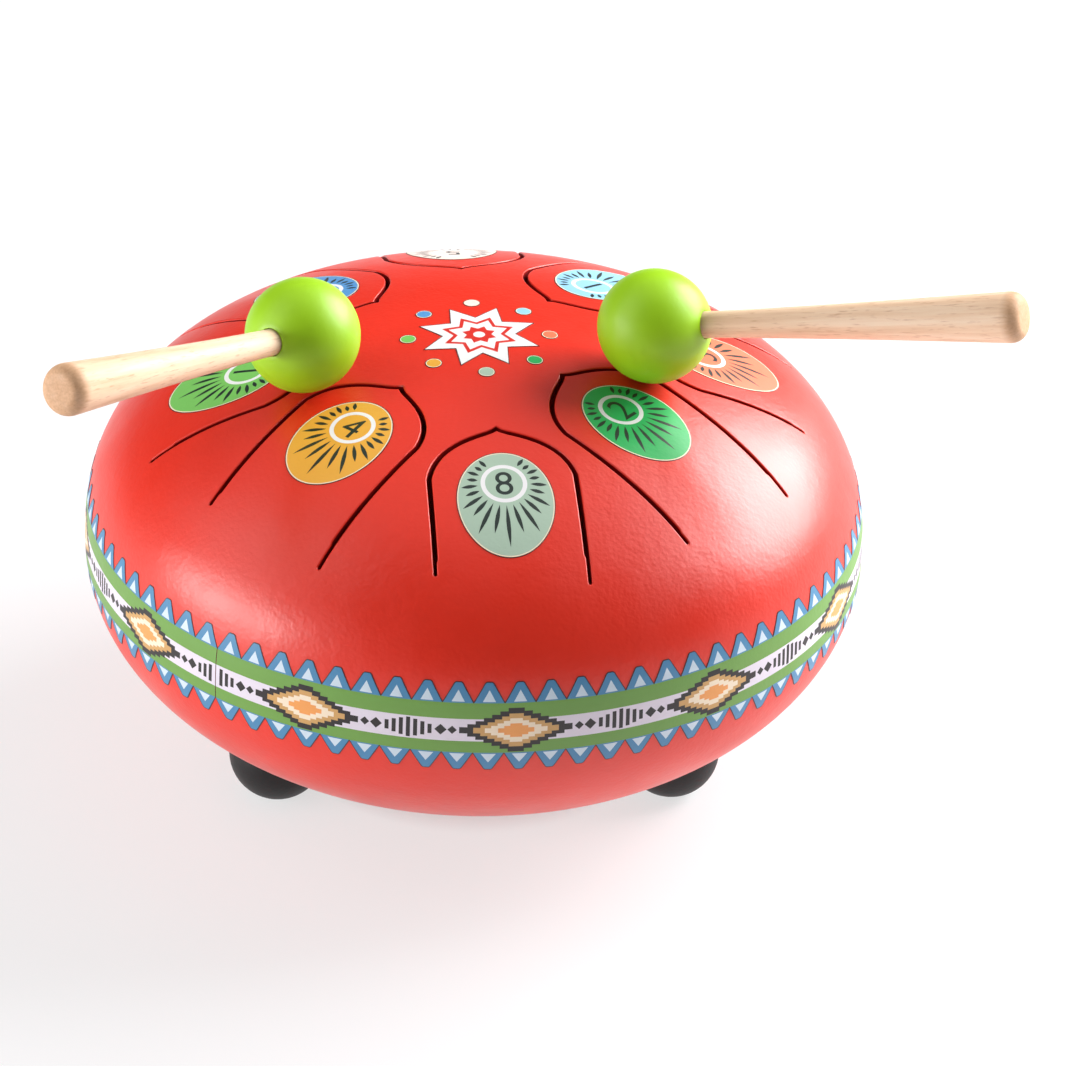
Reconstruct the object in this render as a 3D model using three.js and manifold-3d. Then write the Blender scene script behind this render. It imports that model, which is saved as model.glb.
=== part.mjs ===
// Steel tongue drum with eight numbered tongues, a printed rim band and a pair of mallets.
// Millimetres, +Z up. The set stands on its feet at z = 0, with its bounding box centred on the origin.
import * as THREE from "three";
import { mergeVertices } from "three/addons/utils/BufferGeometryUtils.js";
import Module from "manifold-3d";

const wasm = await Module();
wasm.setup();

// Clearances
const seatGap = 0.3; // between solids that touch on the real drum
const ballGap = 0.55; // under a mallet ball, so that a raised tongue passes below it
const bandGap = 0.5; // between the shells and the rim band

// Shells: two pressed steel sheets that meet where the drum is widest, at height zero here
const drumRadius = 100;
const domeHeight = 58.5;
const domeFlankPower = 2.02; // how square the dome looks from above its flank
const domeCrownPower = 2.69; // how flat the crown is
const bowlDepth = 55;
const bowlFlankPower = 2.107;
const bowlFloorPower = 2;
const sheetThickness = 2;
const lipHeight = 6; // the lower shell's lip, which nests inside the upper shell
const lipGap = 0.65; // between the lip and the upper shell's inner wall at the lip's top
const lipShoulder = 7; // height over which the lower wall steps in to its lip
const soundHoleRadius = 22;

// Tongues: cut in the dome by one slot each, joined to it at the root
const rootInset = 14; // from the rim band's upper edge in to the tongues' roots
const slotWidth = 1.45;
const widthShare = 0.2142; // half width where the sides begin, of the root radius
const rootWidthShare = 0.2202; // half width at the root, of the root radius
const tipDepthShare = 0.1726; // from the tip's point to where the sides begin, of the root radius
const tipLean = [0.2, 0.5]; // along the tip to its curve's two handles, of its depth
const tipSpread = [0.6, 0.9]; // across the tongue to them, of its half width
const firstDirection = -82.5; // degrees, of the front tongue
const tongues = [
  { note: 8, lengthShare: 0.5034 }, // of the root radius
  { note: 2, lengthShare: 0.67 },
  { note: 3, lengthShare: 0.5237 },
  { note: 1, lengthShare: 0.6486 },
  { note: 5, lengthShare: 0.4642 },
  { note: 6, lengthShare: 0.5867 },
  { note: 7, lengthShare: 0.5118 },
  { note: 4, lengthShare: 0.6224 },
];
const tonguePitch = 360 / tongues.length;

// Printed films
const filmThickness = 0.3;
const spotPlaceShare = 1.2556; // from a tongue's point to its spot's middle, of the half width
const spotLengthShare = 0.8222; // half length of a number spot, of the tongue's half width
const spotWidthShare = 0.6667; // half width of a number spot, of the tongue's
const starRadius = 15.9;
const starInnerRadius = 9.4;
const starPoints = 8;

// Rim band: a film wrapped round the joint, with sawtooth edges and one seam
const bandTeeth = 83;
const bandUpperValley = 12.5;
const bandUpperPeak = 17.6;
const bandLowerValley = -1.7;
const bandLowerPeak = -6.8;
const bandInnerRows = [0, 8.5];
const bandSeamDirection = -127.7; // degrees, of a valley between two teeth

// Feet: rubber domes with a neck pushed through the lower shell
const footCount = 3;
const footNames = ["foot_front_left", "foot_front_right", "foot_rear"];
const firstFootDirection = -146.1; // degrees
const footSeatShare = 0.579; // radius of the feet's places, of the drum's
const footRadius = 12.5;
const footStandoff = 2.3; // from the shell out to the dome's centre
const footFlatDepth = 0.5;
const neckRadius = 2.7;
const neckLipRadius = 4.5;
const neckLipThickness = 1.5;

// Mallets: a ball on a tapered wooden handle, laid against the dome
const ballRadius = 14.4;
const malletLength = 97.5; // from the ball's centre to the handle's far end
const handleNeckRadius = 3.35;
const handleGripRadius = 6.3;
const handleSwell = 1.3; // power of the taper from neck to grip
const handleEndLength = 6;
const handleEndRadius = 3.4;
const boreDepth = 16.5;
const mallets = [
  { side: "right", touchShare: 0.424, touchDirection: -15, heading: [0.9, -0.35, 0.25] },
  { side: "left", touchShare: 0.45, touchDirection: -154, heading: [-0.535, -0.8, 0.267] },
]; // each touch's radius is a share of the drum's

// Mesh fineness
const turnSteps = 64; // a whole number for each tongue, so that all tongues are cut alike
const domeRows = 11;
const bowlRows = 8;
const tipSteps = 6;
const spotSteps = 24;
const smallSteps = 16;
const ballSteps = 20;
const ballRows = 10;
const handleRows = 5;
const handleEndSteps = 3;
const weldDistance = 0.001; // corners closer than this are one
const cutterReach = 20; // how far a cutter passes what it cuts

const dome = {
  side: 1,
  height: domeHeight,
  flank: domeFlankPower,
  pole: domeCrownPower,
  rows: domeRows,
};
const bowl = {
  side: -1,
  height: bowlDepth,
  flank: bowlFlankPower,
  pole: bowlFloorPower,
  rows: bowlRows,
};

// Materials
const paint = { red: 0xd8342a, lime: 0x9ad228, rubber: 0x26241f, beech: 0xd9b98c, film: 0xdcdce2 };
const spotColours = {
  1: 0x96cdeb,
  2: 0x28b45f,
  3: 0xf07850,
  4: 0xebaf46,
  5: 0xf5e1d7,
  6: 0x5a96cd,
  7: 0x78c364,
  8: 0xaac3af,
};

function material(color, roughness, metalness = 0) {
  return new THREE.MeshStandardMaterial({ color, roughness, metalness });
}

const enamel = material(paint.red, 0.35);
const bandFilm = material(0x82aa5a, 0.4);
const starFilm = material(paint.film, 0.4);
const footRubber = material(paint.rubber, 0.8);
const ballRubber = material(paint.lime, 0.5);
const handleWood = material(paint.beech, 0.6);

function radians(degrees) {
  return (degrees * Math.PI) / 180;
}

// A shell's half section is a superellipse: (r / radius)^flank + (|z| / height)^pole = 1.
function radiusAtHeight(form, z) {
  return drumRadius * (1 - (Math.abs(z) / form.height) ** form.pole) ** (1 / form.flank);
}

function heightAtRadius(form, r) {
  return form.side * form.height * (1 - (r / drumRadius) ** form.flank) ** (1 / form.pole);
}

// The outward normal of the half section, as a Vector2 of radius and height.
function normalAt(form, r, z) {
  const across = (form.flank * (r / drumRadius) ** (form.flank - 1)) / drumRadius;
  const up = (form.pole * (Math.abs(z) / form.height) ** (form.pole - 1)) / form.height;
  return new THREE.Vector2(across, form.side * up).normalize();
}

// Points of the half section from one radius to a height near the rim, moved out by offset.
function skin(form, fromRadius, toHeight, offset) {
  const start = Math.asin((fromRadius / drumRadius) ** (form.flank / 2));
  const end = Math.acos((Math.abs(toHeight) / form.height) ** (form.pole / 2));
  const points = [];
  for (let row = 0; row <= form.rows; row++) {
    const turn = start + ((end - start) * row) / form.rows;
    const r = drumRadius * Math.sin(turn) ** (2 / form.flank);
    const z = form.side * form.height * Math.cos(turn) ** (2 / form.pole);
    const normal = normalAt(form, r, z);
    points.push(new THREE.Vector2(r, z).addScaledVector(normal, offset));
  }
  return points;
}

// The closed solid that a half section sweeps round the Z axis.
function revolve(section, steps) {
  const outline = THREE.ShapeUtils.isClockWise(section) ? [...section].reverse() : [...section];
  if (outline[0].x > weldDistance) outline.push(outline[0]);
  const geometry = new THREE.LatheGeometry(outline, steps, 0, 2 * Math.PI);
  const position = geometry.getAttribute("position");
  const lastColumn = steps * outline.length;
  outline.forEach((point, row) => {
    position.setXYZ(lastColumn + row, position.getX(row), position.getY(row), position.getZ(row));
  });
  return geometry.rotateX(Math.PI / 2);
}

function solid(geometry) {
  geometry.deleteAttribute("normal");
  geometry.deleteAttribute("uv");
  const merged = mergeVertices(geometry, weldDistance);
  const vertProperties = merged.getAttribute("position").array;
  const triVerts = new Uint32Array(merged.index.array);
  return new wasm.Manifold(new wasm.Mesh({ numProp: 3, vertProperties, triVerts }));
}

function geometryOf(body) {
  const { vertProperties, triVerts } = body.getMesh();
  const geometry = new THREE.BufferGeometry();
  geometry.setAttribute("position", new THREE.BufferAttribute(vertProperties, 3));
  geometry.setIndex(new THREE.BufferAttribute(triVerts, 1));
  geometry.computeVertexNormals();
  return geometry;
}

function namedMesh(name, geometry, look) {
  const mesh = new THREE.Mesh(geometry, look);
  mesh.name = name;
  return mesh;
}

// An upright prism through the whole dome, of an outline seen from above.
function domePrism(points, direction) {
  const depth = domeHeight + 2 * cutterReach;
  const prism = new THREE.ExtrudeGeometry(new THREE.Shape(points), { depth, bevelEnabled: false });
  prism.translate(0, 0, -cutterReach);
  return solid(prism.rotateZ(radians(direction)));
}

// A sheet of the dome between two offsets, in facets that match the shell's.
function domeSheet(innerOffset, outerOffset) {
  const outer = skin(dome, 0, seatGap / 2, outerOffset);
  const inner = skin(dome, 0, seatGap / 2, innerOffset);
  return revolve([...outer, ...inner.reverse()], turnSteps);
}

const steelSheet = solid(domeSheet(-sheetThickness, 0));
const printFilm = solid(domeSheet(seatGap, seatGap + filmThickness));

// Tongues and slots, with the tongue along +X

const rootRadius = radiusAtHeight(dome, bandUpperPeak) - rootInset;
const tongueHalfWidth = rootRadius * widthShare; // to the middle of the slot
const rootHalfWidth = rootRadius * rootWidthShare;
const tipDepth = rootRadius * tipDepthShare;

// A line of points moved sideways to its left, with mitred corners.
function shiftLine(points, distance) {
  const leads = points.slice(1).map((point, index) => point.clone().sub(points[index]).normalize());
  return points.map((point, index) => {
    const arriving = leads[Math.max(index - 1, 0)];
    const leaving = leads[Math.min(index, leads.length - 1)];
    const mean = arriving.clone().add(leaving).normalize();
    const left = new THREE.Vector2(-mean.y, mean.x);
    return point.clone().addScaledVector(left, distance / mean.dot(arriving));
  });
}

// The slot's middle line, from one side of the root round the tip to the other.
function slotLine(lengthShare) {
  const apex = rootRadius * (1 - lengthShare);
  const handles = tipLean.map(
    (lean, index) => new THREE.Vector2(apex + tipDepth * lean, tongueHalfWidth * tipSpread[index]),
  );
  const sideStart = new THREE.Vector2(apex + tipDepth, tongueHalfWidth);
  const tip = new THREE.CubicBezierCurve(new THREE.Vector2(apex, 0), ...handles, sideStart);
  const half = [...tip.getPoints(tipSteps), new THREE.Vector2(rootRadius, rootHalfWidth)];
  const otherHalf = half.slice(1).map((point) => new THREE.Vector2(point.x, -point.y));
  return [...otherHalf.reverse(), ...half];
}

// The slot line moved to one side of the slot, with its ends at the root.
function slotEdge(lengthShare, distance, rootEnd) {
  const edge = shiftLine(slotLine(lengthShare), distance);
  edge[0].x = rootEnd;
  edge[edge.length - 1].x = rootEnd;
  return edge;
}

function tongueOutline(lengthShare) {
  return slotEdge(lengthShare, -slotWidth / 2, rootRadius - seatGap / 2);
}

function openingOutline(lengthShare) {
  return slotEdge(lengthShare, slotWidth / 2, rootRadius + seatGap / 2);
}

function spotOutline(lengthShare) {
  const middle = rootRadius * (1 - lengthShare) + tongueHalfWidth * spotPlaceShare;
  const [halfLength, halfWidth] = [spotLengthShare, spotWidthShare].map((s) => s * tongueHalfWidth);
  const ellipse = new THREE.EllipseCurve(middle, 0, halfLength, halfWidth);
  return ellipse.getPoints(spotSteps).slice(1);
}

function upperShell() {
  let shell = steelSheet.rotate(0, 0, firstDirection);
  tongues.forEach(({ lengthShare }, index) => {
    const direction = firstDirection + index * tonguePitch;
    shell = shell.subtract(domePrism(openingOutline(lengthShare), direction));
  });
  return namedMesh("upper_shell", geometryOf(shell), enamel);
}

// A tongue and its number spot, in a group at the middle of the tongue's root.
function tongueGroup({ note, lengthShare }, index) {
  const rootHeight = heightAtRadius(dome, rootRadius);
  const steepness = normalAt(dome, rootRadius, rootHeight).y;
  const hingeHeight = rootHeight - (sheetThickness / 2) * steepness;
  const direction = radians(firstDirection + index * tonguePitch);
  const tongue = steelSheet.intersect(domePrism(tongueOutline(lengthShare), 0));
  const spot = printFilm.intersect(domePrism(spotOutline(lengthShare), 0));
  const spotLook = material(spotColours[note], 0.4);
  const group = new THREE.Group();
  group.name = `root_${note}`;
  group.add(
    namedMesh(`tongue_${note}`, geometryOf(tongue), enamel),
    namedMesh(`note_spot_${note}`, geometryOf(spot), spotLook),
  );
  group.children.forEach((mesh) => mesh.position.set(-rootRadius, 0, -hingeHeight));
  group.position.set(rootRadius * Math.cos(direction), rootRadius * Math.sin(direction), hingeHeight);
  group.rotation.z = direction;
  return group;
}

// Centre star, printed on the crown

function centreStar() {
  const outline = [];
  for (let corner = 0; corner < 2 * starPoints; corner++) {
    const reach = corner % 2 ? starInnerRadius : starRadius;
    const turn = (corner * Math.PI) / starPoints;
    outline.push(new THREE.Vector2(reach * Math.cos(turn), reach * Math.sin(turn)));
  }
  const direction = firstDirection + tonguePitch / 2;
  const star = printFilm.rotate(0, 0, direction).intersect(domePrism(outline, direction));
  return namedMesh("centre_star", geometryOf(star), starFilm);
}

// Rim band

// A closed film from a grid of columns, each a list of [inner point, outer point] pairs.
function filmOf(columns) {
  const rows = columns[0].length;
  const corners = columns.flat(2).flatMap((point) => point.toArray());
  const indices = [];
  const at = (column, row, side) => 2 * (column * rows + row) + side;
  const quad = (a, b, c, d) => indices.push(a, b, c, a, c, d);
  for (let c = 0; c + 1 < columns.length; c++) {
    for (let r = 0; r + 1 < rows; r++) {
      quad(at(c, r, 1), at(c + 1, r, 1), at(c + 1, r + 1, 1), at(c, r + 1, 1));
      quad(at(c, r, 0), at(c, r + 1, 0), at(c + 1, r + 1, 0), at(c + 1, r, 0));
    }
    quad(at(c, 0, 0), at(c + 1, 0, 0), at(c + 1, 0, 1), at(c, 0, 1));
    quad(at(c, rows - 1, 1), at(c + 1, rows - 1, 1), at(c + 1, rows - 1, 0), at(c, rows - 1, 0));
  }
  const last = columns.length - 1;
  for (let r = 0; r + 1 < rows; r++) {
    quad(at(0, r, 0), at(0, r, 1), at(0, r + 1, 1), at(0, r + 1, 0));
    quad(at(last, r, 1), at(last, r, 0), at(last, r + 1, 0), at(last, r + 1, 1));
  }
  const geometry = new THREE.BufferGeometry();
  geometry.setAttribute("position", new THREE.Float32BufferAttribute(corners, 3));
  geometry.setIndex(indices);
  return geometry;
}

function rimBand() {
  const halfPitch = 180 / bandTeeth;
  const seamHalfAngle = (seatGap / 2 / drumRadius) * (180 / Math.PI);
  const columns = [];
  for (let step = 0; step <= 2 * bandTeeth; step++) {
    const peak = step % 2 === 1;
    const low = peak ? bandLowerPeak : bandLowerValley;
    const high = peak ? bandUpperPeak : bandUpperValley;
    const seamSide = Number(step === 0) - Number(step === 2 * bandTeeth);
    const turn = radians(bandSeamDirection + step * halfPitch + seamSide * seamHalfAngle);
    columns.push(
      [low, ...bandInnerRows, high].map((z) => {
        const form = z < 0 ? bowl : dome;
        const inside = radiusAtHeight(form, z) + bandGap;
        const direction = new THREE.Vector3(Math.cos(turn), Math.sin(turn), 0);
        return [inside, inside + filmThickness].map((r) => direction.clone().setLength(r).setZ(z));
      }),
    );
  }
  const geometry = filmOf(columns);
  geometry.computeVertexNormals();
  return namedMesh("rim_band", geometry, bandFilm);
}

// Lower shell and feet

const footSeatRadius = drumRadius * footSeatShare;

// The place of a foot's seat on the lower shell, with +Z of the matrix out along the shell's normal.
function footPlace(index) {
  const z = heightAtRadius(bowl, footSeatRadius);
  const normal = normalAt(bowl, footSeatRadius, z);
  const turn = radians(firstFootDirection + (index * 360) / footCount);
  const out = new THREE.Vector3(normal.x * Math.cos(turn), normal.x * Math.sin(turn), normal.y);
  const quaternion = new THREE.Quaternion().setFromUnitVectors(new THREE.Vector3(0, 0, 1), out);
  const seat = new THREE.Vector3(footSeatRadius * Math.cos(turn), footSeatRadius * Math.sin(turn), z);
  return new THREE.Matrix4().compose(seat, quaternion, new THREE.Vector3(1, 1, 1));
}

function rod(radius, from, to) {
  const section = [
    new THREE.Vector2(0, from),
    new THREE.Vector2(radius, from),
    new THREE.Vector2(radius, to),
    new THREE.Vector2(0, to),
  ];
  return revolve(section, smallSteps);
}

function lowerShell() {
  const outer = skin(bowl, soundHoleRadius, -seatGap / 2, 0);
  const inner = skin(bowl, soundHoleRadius, -lipShoulder, -sheetThickness);
  const lipRadius = radiusAtHeight(dome, lipHeight) - sheetThickness - lipGap;
  const lip = [
    new THREE.Vector2(lipRadius, -seatGap / 2),
    new THREE.Vector2(lipRadius, lipHeight),
    new THREE.Vector2(lipRadius - sheetThickness, lipHeight),
    new THREE.Vector2(lipRadius - sheetThickness, -sheetThickness),
  ];
  let shell = solid(revolve([...outer, ...lip, ...inner.reverse()], turnSteps));
  for (let index = 0; index < footCount; index++) {
    const drill = rod(neckRadius + seatGap, -cutterReach / 2, cutterReach / 2);
    shell = shell.subtract(solid(drill.applyMatrix4(footPlace(index))));
  }
  return namedMesh("lower_shell", geometryOf(shell), enamel);
}

// The solid inside the lower shell's outer face, grown by the seat gap.
function bowlBlock() {
  const outer = skin(bowl, 0, -seatGap / 2, seatGap);
  const top = outer[outer.length - 1].y;
  return solid(revolve([...outer, new THREE.Vector2(0, top)], turnSteps));
}

function foot(index, block) {
  const place = footPlace(index);
  const centre = new THREE.Vector3(0, 0, footStandoff).applyMatrix4(place);
  const floor = centre.z - footRadius + footFlatDepth;
  const section = [new THREE.Vector2(0, -footRadius), new THREE.Vector2(footRadius, -footRadius)];
  for (let row = 0; row <= ballRows / 2; row++) {
    const turn = (row / ballRows) * Math.PI;
    section.push(
      new THREE.Vector2(footRadius * Math.cos(turn), footStandoff + footRadius * Math.sin(turn)),
    );
  }
  section[section.length - 1].x = 0;
  const lipTop = -sheetThickness - seatGap;
  const neck = solid(rod(neckRadius, lipTop - neckLipThickness / 2, footStandoff).applyMatrix4(place));
  const lip = solid(rod(neckLipRadius, lipTop - neckLipThickness, lipTop).applyMatrix4(place));
  const ground = new THREE.BoxGeometry(4 * footRadius, 4 * footRadius, cutterReach);
  ground.translate(centre.x, centre.y, floor - cutterReach / 2);
  const pad = solid(revolve(section, smallSteps).applyMatrix4(place)).subtract(block);
  const body = pad.subtract(solid(ground)).add(neck).add(lip);
  return namedMesh(footNames[index], geometryOf(body), footRubber);
}

// Mallets, with the handle along +Z from the ball's centre

function malletHead() {
  const section = [];
  for (let row = 0; row <= ballRows; row++) {
    const turn = (row / ballRows) * Math.PI;
    section.push(new THREE.Vector2(ballRadius * Math.sin(turn), -ballRadius * Math.cos(turn)));
  }
  section[0].x = 0;
  section[ballRows].x = 0;
  const bore = rod(handleNeckRadius + seatGap, ballRadius - boreDepth, ballRadius + cutterReach);
  return solid(revolve(section, ballSteps)).subtract(solid(bore));
}

function malletHandle() {
  const inner = ballRadius - boreDepth + seatGap;
  const gripEnd = malletLength - handleEndLength;
  const section = [new THREE.Vector2(0, inner), new THREE.Vector2(handleNeckRadius, inner)];
  for (let row = 0; row <= handleRows; row++) {
    const part = row / handleRows;
    const swell = (handleGripRadius - handleNeckRadius) * part ** handleSwell;
    section.push(
      new THREE.Vector2(handleNeckRadius + swell, ballRadius + (gripEnd - ballRadius) * part),
    );
  }
  const endCurve = new THREE.QuadraticBezierCurve(
    new THREE.Vector2(handleGripRadius, gripEnd),
    new THREE.Vector2(handleGripRadius, malletLength - handleEndLength / 3),
    new THREE.Vector2(handleEndRadius, malletLength),
  );
  section.push(...endCurve.getPoints(handleEndSteps).slice(1), new THREE.Vector2(0, malletLength));
  return revolve(section, smallSteps);
}

function malletGroup({ side, touchShare, touchDirection, heading }) {
  const touchRadius = drumRadius * touchShare;
  const touchHeight = heightAtRadius(dome, touchRadius);
  const normal = normalAt(dome, touchRadius, touchHeight);
  const centre = new THREE.Vector2(touchRadius, touchHeight);
  centre.addScaledVector(normal, ballRadius + ballGap);
  const turn = radians(touchDirection);
  const direction = new THREE.Vector3(...heading).normalize();
  const group = new THREE.Group();
  group.name = `mallet_${side}`;
  group.position.set(centre.x * Math.cos(turn), centre.x * Math.sin(turn), centre.y);
  group.quaternion.setFromUnitVectors(new THREE.Vector3(0, 0, 1), direction);
  group.add(
    namedMesh(`mallet_${side}_head`, geometryOf(malletHead()), ballRubber),
    namedMesh(`mallet_${side}_handle`, malletHandle(), handleWood),
  );
  return group;
}

// Assembly

const set = new THREE.Group();
set.add(upperShell(), lowerShell(), rimBand(), centreStar());
set.add(...tongues.map(tongueGroup));
const block = bowlBlock();
for (let index = 0; index < footCount; index++) set.add(foot(index, block));
set.add(...mallets.map(malletGroup));

const bounds = new THREE.Box3().setFromObject(set, true);
const middle = bounds.getCenter(new THREE.Vector3());
set.position.set(-middle.x, -middle.y, -bounds.min.z);

const drum = new THREE.Group();
drum.name = "tongue_drum";
drum.add(set);
drum.updateMatrixWorld(true);

export default drum;
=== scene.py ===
import math

import bpy
import numpy as np
from mathutils import Matrix, Vector
from mathutils.geometry import delaunay_2d_cdt, interpolate_bezier
from mathutils.kdtree import KDTree


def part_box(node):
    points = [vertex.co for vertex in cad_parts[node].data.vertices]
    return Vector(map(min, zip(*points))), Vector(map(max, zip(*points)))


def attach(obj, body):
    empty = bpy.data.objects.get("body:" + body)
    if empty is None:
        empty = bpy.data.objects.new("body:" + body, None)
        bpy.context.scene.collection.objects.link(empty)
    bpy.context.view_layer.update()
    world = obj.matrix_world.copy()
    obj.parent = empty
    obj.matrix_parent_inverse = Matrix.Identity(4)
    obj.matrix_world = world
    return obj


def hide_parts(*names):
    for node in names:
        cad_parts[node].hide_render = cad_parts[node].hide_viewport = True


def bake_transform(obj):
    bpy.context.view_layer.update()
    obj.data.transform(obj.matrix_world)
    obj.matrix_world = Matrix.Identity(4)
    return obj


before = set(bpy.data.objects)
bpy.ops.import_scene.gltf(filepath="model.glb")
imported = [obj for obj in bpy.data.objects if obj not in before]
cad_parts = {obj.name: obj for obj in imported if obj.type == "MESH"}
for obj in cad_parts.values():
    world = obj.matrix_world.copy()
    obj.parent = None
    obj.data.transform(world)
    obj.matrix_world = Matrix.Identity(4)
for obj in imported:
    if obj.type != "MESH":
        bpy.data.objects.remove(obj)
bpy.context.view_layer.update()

# Shapes are written in millimetres, with the origin in the middle of the drum's widest plane.
MM = 0.001

DRUM_RADIUS = 100.0
DOME_HEIGHT, DOME_FLANK, DOME_POLE = 58.5, 2.02, 2.69
BOWL_DEPTH, BOWL_FLANK, BOWL_POLE = 55.0, 2.107, 2.0
SHEET = 2.0  # thickness of the steel
SEAM = 0.15  # half the gap between the shells

ROOT_INSET = 14.0  # from the rim band's upper edge in to the tongues' roots
WIDTH_SHARE, ROOT_WIDTH_SHARE, TIP_SHARE = 0.2142, 0.2202, 0.1726  # of the roots' radius
TIP_LEAN, TIP_SPREAD = (0.2, 0.5), (0.6, 0.9)  # the tip's curve, of its depth and half width
CUSP, CUSP_SPREAD, CUSP_START = 0.9, 1.3, 0.95  # the small point at a tongue's tip
SLOT_HALF = 0.62  # half a slot's width
SLOT_ROLL = 0.35  # radius of the slots' rolled edges
JOG_START, JOG_LENGTH, JOG_DEPTH = 6.2, 0.8, 0.35  # where a slot narrows before its end
SLOT_ENDS = {-1: 3.2, 1: 0.4}  # from the root back to the middle of each side's round end
FIRST_DIRECTION = math.radians(-82.5)
# Each note's tongue, of the roots' radius, in order round the drum
TONGUES = {8: 0.5034, 2: 0.67, 3: 0.5237, 1: 0.6486, 5: 0.4642, 6: 0.5867, 7: 0.5118, 4: 0.6224}
PITCH = 2 * math.pi / len(TONGUES)

BAND_TEETH = 83
BAND_SEAM = math.radians(-127.7)
UPPER_VALLEY, UPPER_PEAK = 12.5, 17.6
LOWER_VALLEY, LOWER_PEAK = -1.7, -6.8

FEET = ("foot_front_left", "foot_front_right", "foot_rear")
FOOT_ANGLES = [math.radians(-146.1) + 2 * math.pi * k / len(FEET) for k in range(len(FEET))]
FOOT_SEAT = 57.9
FOOT_RADIUS, FOOT_STANDOFF = 12.5, 2.3
NECK_RADIUS, NECK_LIP, NECK_LIP_THICK = 2.7, 4.5, 1.5
NECK_GAP = 0.3  # between the shell's inner face and a neck's lip

BALL_RADIUS, BALL_GAP, BORE_DEPTH = 14.4, 0.55, 16.5
HANDLE_NECK, HANDLE_GRIP, HANDLE_SWELL = 3.35, 6.3, 1.3
MALLET_LENGTH = 97.5
MALLETS = {  # radius and direction of the touch, and the handle's heading
    "right": (42.4, math.radians(-15), (0.9, -0.35, 0.25)),
    "left": (45.0, math.radians(-154), (-0.535, -0.8, 0.267)),
}

# Mesh fineness: millimetres between points, and steps
DOME_SPACING, BOWL_SPACING, CHORD_SPACING = 3.0, 3.2, 1.5
SIDE_SPACING, JOG_SPACING, PRINT_SPACING = 1.6, 0.3, 1.2
TIP_STEPS, CAP_STEPS, RIM_STEPS, TURN_STEPS, DIGIT_STEPS = 34, 9, 256, 192, 7
FILL_CLEARANCE = 0.6  # of the spacing, round a net's own points
WELD = 2e4  # steps per millimetre of the grid that joins corners

low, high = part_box("upper_shell")
CENTRE = np.array([(low.x + high.x) / 2, (low.y + high.y) / 2, high.z - DOME_HEIGHT * MM])


# The drum's half section, from the crown over the rim to the middle of the floor


def half_section(height, flank, pole, side, steps=3000):
    turn = np.linspace(0, math.pi / 2, steps)
    r = DRUM_RADIUS * np.sin(turn) ** (2 / flank)
    z = height * np.clip(np.cos(turn), 0, 1) ** (2 / pole)
    across = flank * (r / DRUM_RADIUS) ** (flank - 1) / DRUM_RADIUS
    up = side * pole * (z / height) ** (pole - 1) / height
    return np.stack([r, side * z, across, up], 1)


upper = half_section(DOME_HEIGHT, DOME_FLANK, DOME_POLE, 1)
lower = half_section(BOWL_DEPTH, BOWL_FLANK, BOWL_POLE, -1)[::-1][1:]
RADII, HEIGHTS, ACROSS, UP = np.concatenate([upper, lower]).T
ARCS = np.concatenate([[0], np.cumsum(np.hypot(np.diff(RADII), np.diff(HEIGHTS)))])
RIM = len(upper) - 1
ARC_END = ARCS[-1]


def on_skin(angle, arc, lift=0.0):
    """Points and normals of the drum's outer face, moved out by lift."""
    angle, arc = np.broadcast_arrays(np.asarray(angle, float), np.asarray(arc, float))
    r, z = np.interp(arc, ARCS, RADII), np.interp(arc, ARCS, HEIGHTS)
    nr, nz = np.interp(arc, ARCS, ACROSS), np.interp(arc, ARCS, UP)
    size = np.hypot(nr, nz)
    cos, sin = np.cos(angle), np.sin(angle)
    normals = np.stack([nr / size * cos, nr / size * sin, nz / size], -1)
    points = np.stack([r * cos, r * sin, z], -1)
    return points + np.asarray(lift)[..., None] * normals, normals


def arc_at_height(z):
    return np.interp(-np.asarray(z, float), -HEIGHTS, ARCS)


def arc_at_radius(r):
    return np.interp(r, RADII[: RIM + 1], ARCS[: RIM + 1])


def bowl_arc_at_radius(r):
    return np.interp(-np.asarray(r, float), -RADII[RIM:], ARCS[RIM:])


def place_dome(points, lift=0.0):
    """The dome unrolled: distance from the origin is arc length from the crown."""
    return on_skin(np.arctan2(*points.T[::-1]), np.hypot(*points.T), lift)


def place_bowl(points, lift=0.0):
    """The bowl unrolled: distance from the origin is arc length from the middle of the floor."""
    return on_skin(np.arctan2(*points.T[::-1]), ARC_END - np.hypot(*points.T), lift)


def place_band(points, lift=0.0):
    """The rim unrolled: along it in millimetres from the band's seam, and height."""
    return on_skin(BAND_SEAM + points[:, 0] / DRUM_RADIUS, arc_at_height(points[:, 1]), lift)


def full_turn(steps):
    return np.linspace(0, 2 * math.pi, steps + 1)[:-1]


def unit(turn):
    """Points of a circle of radius 1."""
    return np.stack([np.cos(turn), np.sin(turn)], 1)


def turned(points, angle):
    cos, sin = math.cos(angle), math.sin(angle)
    return np.asarray(points, float) @ np.array([[cos, sin], [-sin, cos]])


def from_plan(points, angle):
    """Points seen from above, turned by an angle, as points of the unrolled dome."""
    p = turned(points, angle)
    r = np.hypot(*p.T)
    return p * (arc_at_radius(r) / np.maximum(r, 1e-9))[:, None]


# Triangles of flat outlines


def densify(loop, spacing, closed=True):
    """The loop's points, with more between those that are far apart."""
    loop = np.asarray(loop, float)
    ends = np.roll(loop, -1, 0) if closed else loop[1:]
    out = []
    for a, b in zip(loop if closed else loop[:-1], ends):
        count = max(1, int(math.ceil(np.hypot(*(b - a)) / spacing)))
        out.append(a + (b - a) * (np.arange(count) / count)[:, None])
    if not closed:
        out.append(loop[-1:])
    return np.concatenate(out)


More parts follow.
